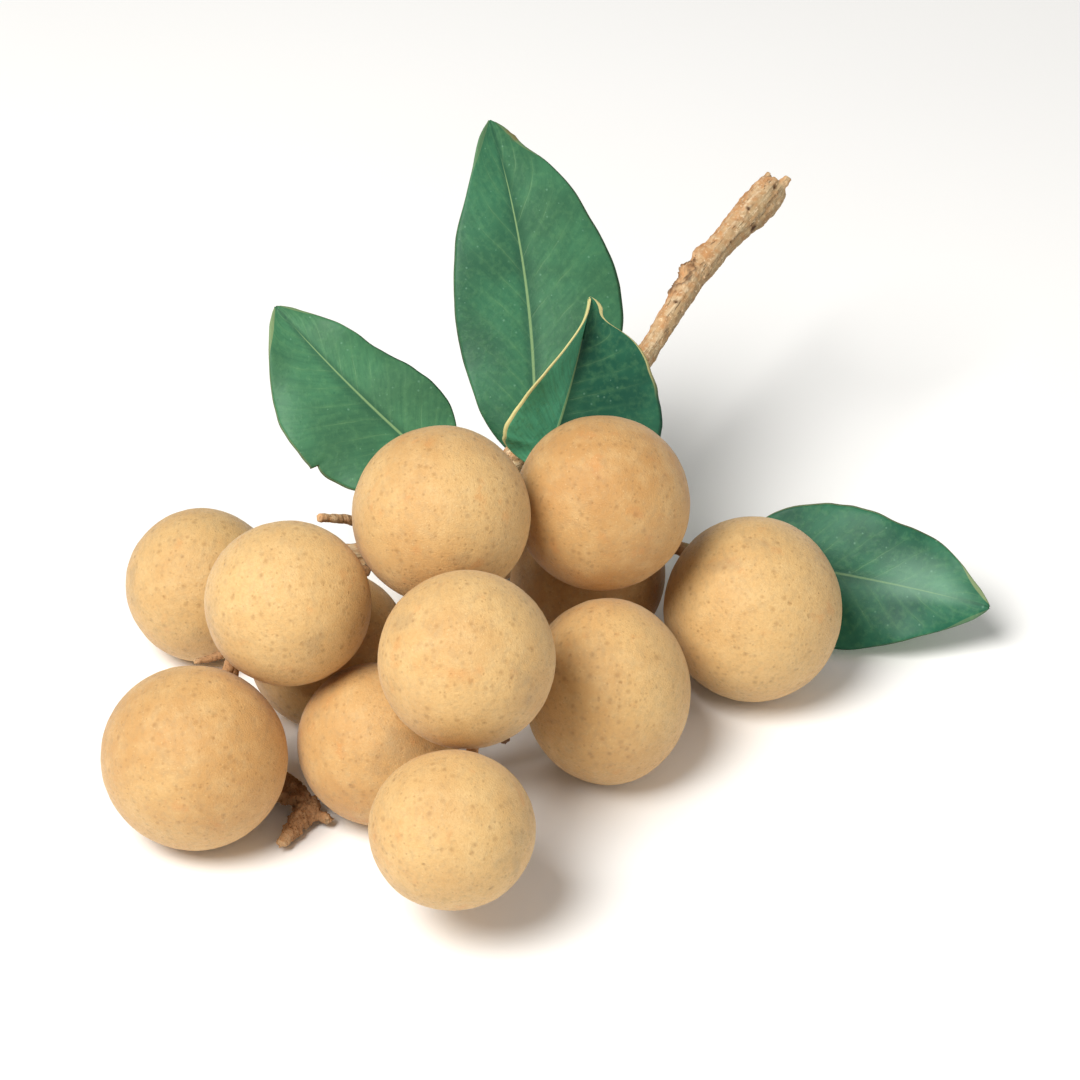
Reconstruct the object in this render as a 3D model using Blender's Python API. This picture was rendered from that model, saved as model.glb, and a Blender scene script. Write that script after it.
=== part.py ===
"""A small bunch of longan fruit lying on a table, with its woody stem and four leaves.

Metres, +Z up.  The bunch is laid out in millimetres on a table at z = 0, seen from -Y,
and moved at the end so that the middle of its footprint is the origin.
"""
import math

import bmesh
import bpy
from mathutils import Matrix, Vector

MM = 0.001
GAP = 0.3                 # clearance between separate pieces, mm
FLAT = 0.25               # how deep a resting fruit is flattened under its lowest point, mm
SHIFT = (-2.6, -9.1)      # from the layout to the middle of the footprint, mm

FRUIT_SEGMENTS = 20
FRUIT_RINGS = 11
FRUIT_SQUASH = 0.975      # height of a fruit over its width
DIMPLE = 0.25             # how deep the stalk end of a fruit is sunk, mm

SPREAD_ROUNDS = 60        # times that fruits which are too close are pushed apart
SPREAD_EXTRA = 1.1        # push of a resting fruit, which moves only along the table

STALK = (0.95, 0.8, 0.95, 1.35)    # radius of a fruit stalk from the stem to its seat, mm
STALK_SEAT = 1.6          # length of the widening end of a stalk, mm
STALK_BOW = 0.06          # how far a stalk bows upward over its length

LEAF_THICK = 0.7          # blade, mm
LEAF_ROWS = 16
LEAF_COLUMNS = 8
LEAF_STEPS = 24           # straight steps of the curved midrib
LEAF_EDGE = 0.7           # half width left at both ends of a blade, mm
LEAF_CUP = 0.012          # how fast a blade curls down away from its midrib
WAVES = 17.0              # ripples of a margin, radians over the blade
NICK_SPAN = 0.03          # length of a torn notch over the blade's
RIB = ((0.0, 0.85), (0.2, 0.75), (0.45, 0.62), (0.7, 0.5))    # place, radius in mm
PETIOLE = 1.1             # radius of the petiole's foot, mm

# Fruit: middle x, y, z and radius, and the point of the stem that its stalk leaves.
# A fruit whose z is smaller than its radius rests on the table.
FRUITS = {
    "fruit_01": ((-49.3, 15.3, 11.1), 11.25, (-39.0, 4.3, 19.9)),
    "fruit_02": ((-34.0, -14.0, 29.0), 11.4, (-34.2, 8.2, 21.0)),
    "fruit_03": ((-13.5, -5.1, 37.7), 12.35, (-7.2, 7.5, 24.4)),
    "fruit_04": ((8.6, 4.9, 32.8), 12.3, (4.5, 22.0, 25.2)),
    "fruit_05": ((30.5, 6.4, 13.3), 13.4, (18.8, 26.3, 10.6)),
    "fruit_06": ((-9.7, -28.3, 30.8), 11.9, (-8.0, -10.0, 19.5)),
    "fruit_07": ((9.4, -12.0, 12.9), 13.0, (-7.5, -6.0, 20.0)),
    "fruit_08": ((-46.7, -26.0, 12.6), 12.8, (-41.8, -3.0, 15.7)),
    "fruit_09": ((-22.3, -21.4, 11.2), 11.35, (-8.0, -13.0, 18.0)),
    "fruit_10": ((-11.4, -45.7, 17.1), 11.0, (-7.0, -17.0, 16.6)),
    "fruit_11": ((-30.0, 0.0, 10.9), 11.6, (-24.5, 10.3, 19.8)),
    "fruit_12": ((7.0, 17.0, 11.2), 11.5, (-3.5, 21.0, 28.0)),
    "fruit_13": ((-10.5, 33.0, 10.8), 11.0, (-6.0, 20.0, 27.6)),
}

# Fruit that are flattened another way than along the stalk: height over width, axis.
ODD_FRUITS = {
    "fruit_05": (0.958, (1.0, 0.0, 0.0)),
    "fruit_07": (0.89, (1.0, 0.0, 0.0)),
    "fruit_10": (0.96, (0.0, 0.59, 0.81)),
    "fruit_11": (0.85, (0.0, -0.8, 0.6)),
}

# Main stem, from its broken upper end to the twig at the lower left: x, y, z, radius.
MAIN_STEM = (
    (35.7, 71.4, 44.9, 2.6),
    (32.4, 66.5, 43.8, 2.75),
    (29.4, 62.0, 42.9, 2.15),
    (23.4, 52.6, 41.0, 1.9),
    (16.2, 38.5, 37.0, 1.6),
    (8.0, 27.5, 32.0, 1.75),
    (-3.0, 21.5, 28.5, 1.8),
    (-13.0, 16.5, 25.5, 1.7),
    (-24.0, 10.8, 20.2, 1.5),
    (-33.0, 9.0, 21.2, 1.4),
    (-39.0, 4.5, 20.0, 1.3),
    (-42.0, -3.0, 15.6, 1.15),
)

# Side twigs: x, y, z and radius at each point, the first one inside what carries it.
TWIGS = {
    "inner": (
        (-7.0, 19.5, 27.0, 1.9), (-7.5, 11.5, 25.5, 1.6), (-7.0, 2.5, 22.0, 1.4),
        (-8.0, -8.0, 19.5, 1.3), (-7.3, -18.0, 16.6, 1.1),
    ),
    "low": (
        (-41.8, -2.6, 15.8, 1.1), (-43.5, -7.0, 10.5, 1.1), (-42.0, -12.0, 6.0, 1.2),
        (-38.0, -17.0, 3.6, 1.3), (-34.4, -21.3, 3.0, 1.5), (-31.8, -25.2, 2.3, 1.6),
    ),
    "fork_front": (
        (-32.0, -25.0, 2.3, 1.7), (-33.6, -28.2, 2.0, 1.3), (-35.3, -31.4, 1.6, 0.8),
    ),
    "fork_left": (
        (-33.6, -22.2, 2.9, 1.4), (-35.2, -22.5, 2.9, 1.15), (-36.8, -22.9, 2.8, 0.85),
    ),
    "fork_right": (
        (-31.9, -25.2, 2.2, 1.5), (-30.3, -25.8, 1.7, 1.0), (-28.9, -26.1, 1.4, 0.5),
    ),
    "nub": (
        (-7.2, -15.0, 17.4, 1.1), (-5.8, -20.0, 14.7, 0.9), (-4.6, -23.4, 12.9, 0.75),
    ),
    "right": (
        (7.0, 27.0, 31.5, 1.8), (10.0, 30.0, 22.5, 1.5), (14.0, 28.7, 14.5, 1.4),
        (19.0, 26.3, 10.0, 1.2),
    ),
    "short": (
        (4.0, 25.3, 29.5, 1.6), (4.3, 23.8, 27.0, 1.4), (4.5, 21.8, 25.2, 1.1),
    ),
    "stub_left": (
        (-22.0, 11.5, 21.5, 1.1), (-26.0, 8.6, 27.0, 0.8), (-31.0, 5.0, 30.2, 0.65),
    ),
    "stub_low": (
        (-41.6, -2.2, 15.7, 0.9), (-44.6, -3.8, 13.0, 0.65), (-48.8, -4.3, 11.9, 0.45),
    ),
}

# Swellings where side twigs and leaves leave the stem: x, y, z, radius.
KNOBS = (
    (22.3, 52.3, 41.4, 1.5),
    (7.5, 27.3, 31.5, 2.6),
    (-3.0, 22.0, 28.9, 2.5),
    (-7.0, 18.8, 27.0, 2.4),
    (-33.6, 8.9, 21.2, 1.8),
    (-32.3, -24.4, 2.4, 1.8),
    (-7.8, -9.0, 19.3, 1.9),
    (18.8, 26.3, 10.2, 1.7),
)

# Splinters of the broken upper end: offset across the end, length, radius.
SPLINTERS = (
    (1.3, 0.8, 2.2, 1.2),
    (-1.1, 1.0, 1.4, 1.3),
    (-0.9, -1.1, 3.0, 1.2),
    (1.1, -1.0, 1.0, 1.3),
    (0.1, 0.0, 1.2, 1.4),
)

# Leaves.  base is the foot of the petiole; heading turns from +X towards +Y, rise is
# the climb at the base, droop what the blade loses on its way to the tip, and roll
# turns the blade about its midrib.  half and fold are for the left and right halves,
# close is the fold that the left half gains by the tip, and twig is the point of the
# stem that a short twig to the petiole leaves.
# nick is a small torn notch: side, place along the blade, depth.  Sizes in mm,
# angles in degrees.
LEAVES = {
    "leaf_left": dict(
        twig=(-7.6, 11.0, 25.4), base=(-9.8, 13.0, 28.3), heading=160.0, turn=-20.0,
        rise=36.0, droop=4.0, roll=-27.0, twist=0.0, petiole=4.0, length=34.8,
        half=(11.5, 7.7), fold=(10.0, 10.0), close=0.0, wave=0.5, peak=0.4, blunt=0.8,
        nick=(-1, 0.47, 1.2)),
    "leaf_tall": dict(
        twig=(-3.4, 22.6, 27.6), base=(-0.9, 25.2, 23.2), heading=87.0, turn=27.0,
        rise=49.0, droop=6.0, roll=-2.0, twist=0.0, petiole=1.5, length=52.4,
        half=(10.5, 12.8), fold=(9.0, 9.0), close=0.0, wave=0.45, peak=0.46, blunt=0.8,
        nick=(1, 0.5, 0.0)),
    "leaf_folded": dict(
        twig=(-7.4, 12.0, 25.6), base=(-0.6, 16.2, 27.7), heading=50.0, turn=22.0,
        rise=56.0, droop=0.0, roll=30.0, twist=0.0, petiole=2.5, length=25.6,
        half=(9.0, 13.2), fold=(28.0, 6.0), close=55.0, wave=0.3, peak=0.42, blunt=0.72,
        nick=(1, 0.5, 0.0)),
    "leaf_right": dict(
        twig=(18.8, 26.3, 10.0), base=(25.8, 24.9, 9.2), heading=-17.0, turn=0.0,
        rise=4.0, droop=10.0, roll=50.0, twist=-6.0, petiole=3.0, length=38.5,
        half=(9.2, 10.8), fold=(8.0, 8.0), close=0.0, wave=0.4, peak=0.38, blunt=0.8,
        nick=(1, 0.5, 0.0)),
}

SKIN = ((0.70, 0.45, 0.19, 1.0), 0.62)
WOOD = ((0.36, 0.22, 0.12, 1.0), 0.85)
GREEN = ((0.07, 0.22, 0.09, 1.0), 0.42)


def clear_scene():
    for ob in list(bpy.data.objects):
        bpy.data.objects.remove(ob, do_unlink=True)


def material(name, finish):
    colour, rough = finish
    mat = bpy.data.materials.new(name)
    mat.use_nodes = True
    shader = mat.node_tree.nodes["Principled BSDF"]
    shader.inputs["Base Color"].default_value = colour
    shader.inputs["Roughness"].default_value = rough
    shader.inputs["Metallic"].default_value = 0.0
    mat.diffuse_color = colour
    return mat


def add_object(name, mesh):
    ob = bpy.data.objects.new(name, mesh)
    bpy.context.scene.collection.objects.link(ob)
    return ob


def mesh_from(bm, name):
    mesh = bpy.data.meshes.new(name)
    bm.to_mesh(mesh)
    bm.free()
    return mesh


def evaluated_mesh(ob):
    graph = bpy.context.evaluated_depsgraph_get()
    return bpy.data.meshes.new_from_object(ob.evaluated_get(graph), depsgraph=graph)


def placed(point):
    """A layout point in mm as a model point in metres."""
    x, y, z = point[:3]
    return Vector(((x + SHIFT[0]) * MM, (y + SHIFT[1]) * MM, z * MM))


def fruit_shape(name, seat):
    """Height over width of a fruit, and the axis along which it is flattened."""
    squash, axis = ODD_FRUITS.get(name, (FRUIT_SQUASH, seat))
    return squash, Vector(axis).normalized()


def reach_towards(name, way, seat):
    """From a fruit's middle to its outline's edge in a direction, mm."""
    squash, axis = fruit_shape(name, seat)
    share = way.dot(axis) ** 2
    return FRUITS[name][1] * math.sqrt(1.0 - share + squash * squash * share)


def skin_distance(name, way, seat):
    """From a fruit's middle to its skin in a direction, mm."""
    squash, axis = fruit_shape(name, seat)
    share = way.dot(axis) ** 2
    return FRUITS[name][1] / math.sqrt(1.0 - share + share / (squash * squash))


def spread_fruits():
    """Push fruits that are too close straight apart until all of them clear."""
    centre = {name: Vector(spec[0]) for name, spec in FRUITS.items()}
    names = sorted(centre)
    for _ in range(SPREAD_ROUNDS):
        moved = False
        for i, a in enumerate(names):
            for b in names[i + 1:]:
                apart = centre[b] - centre[a]
                way = apart.normalized()
                seat_a = (Vector(FRUITS[a][2]) - centre[a]).normalized()
                seat_b = (Vector(FRUITS[b][2]) - centre[b]).normalized()
                need = reach_towards(a, way, seat_a) + reach_towards(b, way, seat_b) + GAP
                if apart.length < need - 1e-4:
                    push = way * (need - apart.length) * 0.5
                    rest_a = FRUITS[a][0][2] < FRUITS[a][1]
                    rest_b = FRUITS[b][0][2] < FRUITS[b][1]
                    if rest_a or rest_b:
                        push = push * SPREAD_EXTRA
                    centre[a] -= Vector((push.x, push.y, 0.0 if rest_a else push.z))
                    centre[b] += Vector((push.x, push.y, 0.0 if rest_b else push.z))
                    moved = True
        if not moved:
            break
    return centre


def make_fruit(name, middle, radius, stalk_from):
    """A slightly flattened ball with a low shoulder round its stalk end."""
    seat = (Vector(stalk_from) - middle).normalized()
    squash, axis = fruit_shape(name, seat)
    bm = bmesh.new()
    bmesh.ops.create_uvsphere(
        bm, u_segments=FRUIT_SEGMENTS, v_segments=FRUIT_RINGS, radius=radius * MM)
    crown = max(bm.verts, key=lambda v: v.co.z)
    crown.co.z -= DIMPLE * MM
    turn = Vector((0.0, 0.0, 1.0)).rotation_difference(seat).to_matrix()
    flatten = Matrix.Scale(squash, 3, axis)
    bmesh.ops.transform(
        bm, matrix=Matrix.Translation(placed(middle)) @ (flatten @ turn).to_4x4(), verts=bm.verts)
    if middle.z < radius:
        low = min(v.co.z for v in bm.verts)
        bmesh.ops.translate(bm, vec=(0.0, 0.0, -low - FLAT * MM), verts=bm.verts)
        cut = bmesh.ops.bisect_plane(
            bm, geom=bm.verts[:] + bm.edges[:] + bm.faces[:], dist=1e-7,
            plane_co=(0.0, 0.0, 0.0), plane_no=(0.0, 0.0, -1.0), clear_outer=True)
        rim = [e for e in cut["geom_cut"] if isinstance(e, bmesh.types.BMEdge)]
        bmesh.ops.edgenet_fill(bm, edges=rim)
        bmesh.ops.recalc_face_normals(bm, faces=bm.faces)
    ob = add_object(name, mesh_from(bm, name))
    ob.data.shade_smooth()
    ob.data.set_sharp_from_angle(angle=math.radians(50))
    ob.data.materials.append(material(name + "_skin", SKIN))
    return ob


def tube(name, points, sides=2, smooth=3):
    """A closed tapered rod along points of x, y, z and radius."""
    curve = bpy.data.curves.new(name, "CURVE")
    curve.dimensions = "3D"
    curve.bevel_depth = 1.0 * MM
    curve.bevel_resolution = sides
    curve.use_fill_caps = True
    curve.resolution_u = smooth
    line = curve.splines.new("BEZIER")
    line.bezier_points.add(len(points) - 1)
    for knot, (x, y, z, radius) in zip(line.bezier_points, points):
        knot.co = placed((x, y, z))
        knot.radius = radius
        knot.handle_left_type = "AUTO"
        knot.handle_right_type = "AUTO"
    ob = add_object(name, curve)
    bpy.context.view_layer.update()
    mesh = evaluated_mesh(ob)
    bpy.data.objects.remove(ob, do_unlink=True)
    bm = bmesh.new()
    bm.from_mesh(mesh)
    bmesh.ops.remove_doubles(bm, verts=bm.verts, dist=1e-6)
    bmesh.ops.recalc_face_normals(bm, faces=bm.faces)
    bm.to_mesh(mesh)
    bm.free()
    return add_object(name, mesh)


def ball(name, x, y, z, radius):
    bm = bmesh.new()
    bmesh.ops.create_icosphere(bm, subdivisions=2, radius=radius * MM)
    bmesh.ops.translate(bm, vec=placed((x, y, z)), verts=bm.verts)
    return add_object(name, mesh_from(bm, name))


def fuse(name, first, others):
    """One closed body from overlapping ones; the helpers are removed."""
    group = bpy.data.collections.new(name + "_pieces")
    bpy.context.scene.collection.children.link(group)
    for ob in others:
        group.objects.link(ob)
    join = first.modifiers.new("Union", "BOOLEAN")
    join.operation = "UNION"
    join.operand_type = "COLLECTION"
    join.collection = group
    join.solver = "EXACT"
    join.use_self = True
    bpy.context.view_layer.update()
    mesh = evaluated_mesh(first)
    for ob in [first] + list(others):
        bpy.data.objects.remove(ob, do_unlink=True)
    bpy.data.collections.remove(group)
    return add_object(name, mesh)


def make_stem(centre):
    """The woody stem with its side twigs, fruit stalks, knobs and broken ends."""
    first = tube("main", MAIN_STEM, sides=3, smooth=3)
    others = [tube("twig_" + key, points) for key, points in TWIGS.items()]
    for i, (x, y, z, radius) in enumerate(KNOBS):
        others.append(ball("knob_%d" % i, x, y, z, radius))
    for name, (_, _, start) in FRUITS.items():
        start = Vector(start)
        seat = centre[name] - start
        way = seat.normalized()
        reach = seat.length - skin_distance(name, way, way) - GAP
        end = start + way * reach
        middle = start + way * reach * 0.5 + Vector((0.0, 0.0, STALK_BOW * reach))
        ends = (start, middle, end - way * STALK_SEAT, end)
        points = [(*point, thick) for point, thick in zip(ends, STALK)]
        others.append(tube("stalk_" + name, points, sides=2, smooth=2))
    for name, spec in LEAVES.items():
        base, _, _, along = leaf_frame(spec, -1.0)
        foot = base - along * (GAP + 0.1)
        bend = base - along * 2.6
        points = ((*spec["twig"], PETIOLE), (*bend, PETIOLE), (*foot, PETIOLE))
        others.append(tube("twig_" + name, points))
    tip = Vector(MAIN_STEM[0][:3])
    axis = (tip - Vector(MAIN_STEM[1][:3])).normalized()
    side = axis.cross(Vector((0.0, 0.0, 1.0))).normalized()
    over = side.cross(axis).normalized()
    for i, (a, b, length, radius) in enumerate(SPLINTERS):
        foot = tip + side * a + over * b - axis * 2.5
        head = tip + side * a * 1.15 + over * b * 1.15 + axis * length
        points = ((*foot, radius), (*head, radius * 0.5))
        others.append(tube("splinter_%d" % i, points, sides=1, smooth=1))
    ob = fuse("stem", first, others)
    ob.data.materials.clear()
    ob.data.shade_smooth()
    ob.data.set_sharp_from_angle(angle=math.radians(40))
    ob.data.materials.append(material("stem_wood", WOOD))
    return ob


def leaf_frame(spec, t):
    """Midrib point in mm and the blade's across and upward directions at t = 0..1."""
    point = Vector(spec["base"])
    total = spec["petiole"] + spec["length"]
    heading = math.radians(spec["heading"])
    rise = math.radians(spec["rise"])
    goal = max(spec["petiole"] + spec["length"] * t, 0.0)
    step = total / LEAF_STEPS
    gone = 0.0
    along = Vector((1.0, 0.0, 0.0))
    while True:
        f = gone / total
        h = heading + math.radians(spec["turn"]) * f
        r = rise - math.radians(spec["droop"]) * f
        along = Vector((math.cos(h) * math.cos(r), math.sin(h) * math.cos(r), math.sin(r)))
        if gone + 1e-9 >= goal:
            break
        move = min(step, goal - gone)
        point = point + along * move
        gone += move
    across = along.cross(Vector((0.0, 0.0, 1.0))).normalized()
    upward = across.cross(along).normalized()
    roll = Matrix.Rotation(math.radians(spec["roll"] + spec["twist"] * t), 3, along)
    return point, roll @ across, roll @ upward, along


def leaf_width(spec, t, side):
    """Half width of the blade at t, 0 at both ends, widest at peak."""
    peak = spec["peak"]
    power = math.log(0.5) / math.log(peak)
    half = spec["half"][0 if side < 0 else 1]
    width = half * max(math.sin(math.pi * t ** power), 0.0) ** spec["blunt"]
    nick_side, place, depth = spec["nick"]
    if nick_side * side > 0:
        width -= depth * math.exp(-((t - place) / NICK_SPAN) ** 2)
    return width


def leaf_point(spec, t, u):
    """Blade point in mm; u is -1 on the left margin and +1 on the right one."""
    point, across, upward, along = leaf_frame(spec, t)
    width = leaf_width(spec, t, u) + LEAF_EDGE
    out = abs(u) * width
    fold = math.radians(spec["fold"][0] + spec["close"] * t if u < 0.0 else spec["fold"][1])
    lift = out * math.sin(fold) - LEAF_CUP * out * out
    side = 1.0 if u >= 0.0 else -1.0
    ripple = spec["wave"] * u * u * math.sin(t * WAVES + side * 1.3)
    return point + across * (side * out * math.cos(fold)) + upward * (lift + ripple)


def make_leaf(name, spec):
    """A thin curved blade with a petiole and midrib fused along its back."""
    bm = bmesh.new()
    bmesh.ops.create_grid(bm, x_segments=LEAF_COLUMNS, y_segments=LEAF_ROWS, size=1.0)
    for v in bm.verts:
        u = v.co.x
        t = 0.5 + 0.5 * v.co.y
        t = 0.004 + 0.992 * t
        v.co = placed(leaf_point(spec, t, u))
    bmesh.ops.recalc_face_normals(bm, faces=bm.faces)
    bmesh.ops.solidify(bm, geom=bm.faces[:], thickness=LEAF_THICK * MM)
    bmesh.ops.recalc_face_normals(bm, faces=bm.faces)
    bmesh.ops.triangulate(bm, faces=bm.faces)
    blade = add_object(name + "_blade", mesh_from(bm, name + "_blade"))
    base = Vector(spec["base"])
    rib = [(*base, PETIOLE)]
    for t, radius in RIB:
        point, across, upward, along = leaf_frame(spec, t)
        rib.append((*(point - upward * 0.35 + across * 0.09), radius))
    ob = fuse(name, blade, [tube(name + "_rib", rib, sides=1, smooth=2)])
    ob.data.materials.clear()
    ob.data.shade_smooth()
    ob.data.set_sharp_from_angle(angle=math.radians(50))
    ob.data.materials.append(material(name + "_green", GREEN))
    return ob


def main():
    clear_scene()
    centre = spread_fruits()
    for name, (_, radius, start) in FRUITS.items():
        make_fruit(name, centre[name], radius, start)
    make_stem(centre)
    for name, spec in LEAVES.items():
        make_leaf(name, spec)


main()
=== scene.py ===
"""The looks of a small bunch of longan fruit: rinds, bark, leaves, floor and light.

The file is laid out as an add-on and run as a script.  Lengths in the tables are
millimetres on the table that the bunch lies on; the meshes are in metres, +Z up.
"""

import functools
import math
import random

import bmesh
import bpy
from bpy.props import FloatProperty, FloatVectorProperty, IntProperty, PointerProperty
from bpy.types import NodeSocket, Operator, Panel, PropertyGroup
from mathutils import Matrix, Vector, noise


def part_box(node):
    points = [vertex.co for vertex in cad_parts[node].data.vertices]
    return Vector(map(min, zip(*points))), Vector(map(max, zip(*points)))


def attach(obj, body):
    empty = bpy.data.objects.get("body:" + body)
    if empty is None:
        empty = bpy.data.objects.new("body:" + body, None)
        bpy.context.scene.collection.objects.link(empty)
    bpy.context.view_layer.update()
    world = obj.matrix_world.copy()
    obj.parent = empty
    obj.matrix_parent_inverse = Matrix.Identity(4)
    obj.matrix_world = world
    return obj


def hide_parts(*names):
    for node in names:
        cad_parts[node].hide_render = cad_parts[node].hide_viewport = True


bl_info = {
    "name": "Longan Bunch",
    "version": (1, 0, 0),
    "blender": (4, 5, 0),
    "location": "3D View > Sidebar > Longan",
    "description": "Rinds, bark and leaves for a small bunch of longan fruit",
    "category": "Object",
}

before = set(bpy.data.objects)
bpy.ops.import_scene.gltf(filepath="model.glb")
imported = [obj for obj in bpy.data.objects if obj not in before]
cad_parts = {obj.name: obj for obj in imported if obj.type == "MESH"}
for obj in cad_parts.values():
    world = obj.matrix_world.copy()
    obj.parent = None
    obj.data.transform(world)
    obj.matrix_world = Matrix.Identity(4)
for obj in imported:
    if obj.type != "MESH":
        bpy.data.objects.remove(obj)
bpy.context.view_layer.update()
BODY = "root"
MM = 0.001
LOWEST = 0.02 * MM        # no finished vertex lies lower

FIRST_FRUIT_SEED = 3
STEM_SEED = 11

# From the layout on the table to the model's own origin, mm.
SHIFT = (-2.6, -9.1)

# A fruit's height along its stalk over its width, and the fruits that are flattened
# another way: height over width, axis.
FRUIT_SQUASH = 0.975
ODD_FRUITS = {
    "fruit_05": (0.958, (1.0, 0.0, 0.0)),
    "fruit_07": (0.89, (1.0, 0.0, 0.0)),
    "fruit_10": (0.96, (0.0, 0.59, 0.81)),
    "fruit_11": (0.85, (0.0, -0.8, 0.6)),
}

# The stalk end of a fruit, mm: radius and softness of the collar, reach and depth of
# the dimple.
COLLAR_RADIUS, COLLAR_SOFT = 1.5, 0.6
DIMPLE_REACH, DIMPLE_DEPTH = 3.2, 0.25

# How much deeper or paler than the others a fruit is.
TONES = {
    "fruit_01": 0.10, "fruit_02": -0.20, "fruit_03": 0.05, "fruit_04": 0.60,
    "fruit_05": -0.30, "fruit_06": -0.05, "fruit_07": 0.0, "fruit_08": 0.25,
    "fruit_09": 0.40, "fruit_10": -0.15, "fruit_11": 0.50, "fruit_12": 0.90,
    "fruit_13": 0.30,
}

# The middle of the main stem, from the broken end to the lower left: x, y, z, radius.
STEM_LINE = (
    (35.7, 71.4, 44.9, 2.6), (32.4, 66.5, 43.8, 2.75), (29.4, 62.0, 42.9, 2.15),
    (23.4, 52.6, 41.0, 1.9), (16.2, 38.5, 37.0, 1.6), (8.0, 27.5, 32.0, 1.75),
    (-3.0, 21.5, 28.5, 1.8), (-13.0, 16.5, 25.5, 1.7), (-24.0, 10.8, 20.2, 1.5),
    (-33.0, 9.0, 21.2, 1.4), (-39.0, 4.5, 20.0, 1.3), (-42.0, -3.0, 15.6, 1.15),
)
STEM_REACH = 1.5          # how far the stem's own bark goes, over its radius

# The side of the stem that is seen from the front.
FRONT = Vector((0.0, -0.81, 0.59))

# The broken upper end: number of its fibres, the disc that they stand on, the part of
# each that is inside the stem, and how far it stands out at places across it, mm.
END_FIBRES = 30
END_RADIUS = 2.35
END_ROOT = 2.8
GOLDEN_ANGLE = 2.39996
END_PROFILE = ((-2.6, -1.7), (-1.9, -0.5), (-1.2, 0.8), (-0.3, 0.6), (0.1, -0.6),
               (0.7, 1.5), (1.5, 1.0), (2.0, -0.4), (2.6, -1.4))

# Lumps on the upper stem: back from the end, across, towards the front, width, length.
LUMPS = (
    (4.3, 1.5, 0.9, 1.15, 2.0), (4.0, 1.9, -0.6, 0.95, 2.2), (2.2, -1.4, 0.8, 1.1, 1.9),
    (19.2, -1.75, 0.5, 0.85, 2.3), (16.6, -1.6, 0.5, 0.55, 1.6),
    (20.4, -1.0, 1.0, 0.7, 1.2), (11.2, 0.6, 1.5, 0.6, 1.2), (29.5, -1.0, 0.8, 0.6, 1.4),
    (7.4, 1.9, 0.2, 0.85, 1.2),
)

# Dark pits in the upper stem: back from the end, across, radius, mm.
PITS = (
    (30.6, -0.35, 0.32), (1.6, 0.2, 0.30), (9.5, 2.1, 0.62), (8.2, -0.7, 0.28),
    (15.0, 0.9, 0.20),
)
PIT_DEPTH = 0.30

# Broken tips of the fork at the front left, of the stub behind the left fruit and of
# one twig: place and how far the break goes up it, mm.
FORK_TIPS = (
    ((-35.3, -31.4, 1.6), 2.4), ((-36.8, -22.9, 2.8), 1.6), ((-28.9, -26.1, 1.4), 1.5),
)
STUB = ((-31.0, 5.0, 30.2), 6.0)
BREAKS = (*FORK_TIPS, STUB, ((-48.8, -4.3, 11.9), 1.2))
STUB_PALE = 9.0           # from its tip to where the bark is a twig's brown, mm

# The fork: its middle and reach, mm, and the fibres at each of its tips.
FORK = ((-33.2, -25.2, 2.3), 8.0)
TIP_FIBRES = 5

# Spots where the wood is darker: place, reach in mm and how dark it is.
DARKER_SPOTS = (((-4.8, -22.8, 13.2), 4.0, 1.3), (FORK[0], 10.0, 0.26))

# The peeled wound on the main stem: middle, how far back from the end, radius across
# the stem, height of its lip, mm, and its length over its width.
WOUND = (20.9, 50.4, 42.0)
WOUND_BACK = 20.0
WOUND_RADIUS = 1.8
WOUND_LIP = 0.40
WOUND_STRETCH = 2.2
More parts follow.
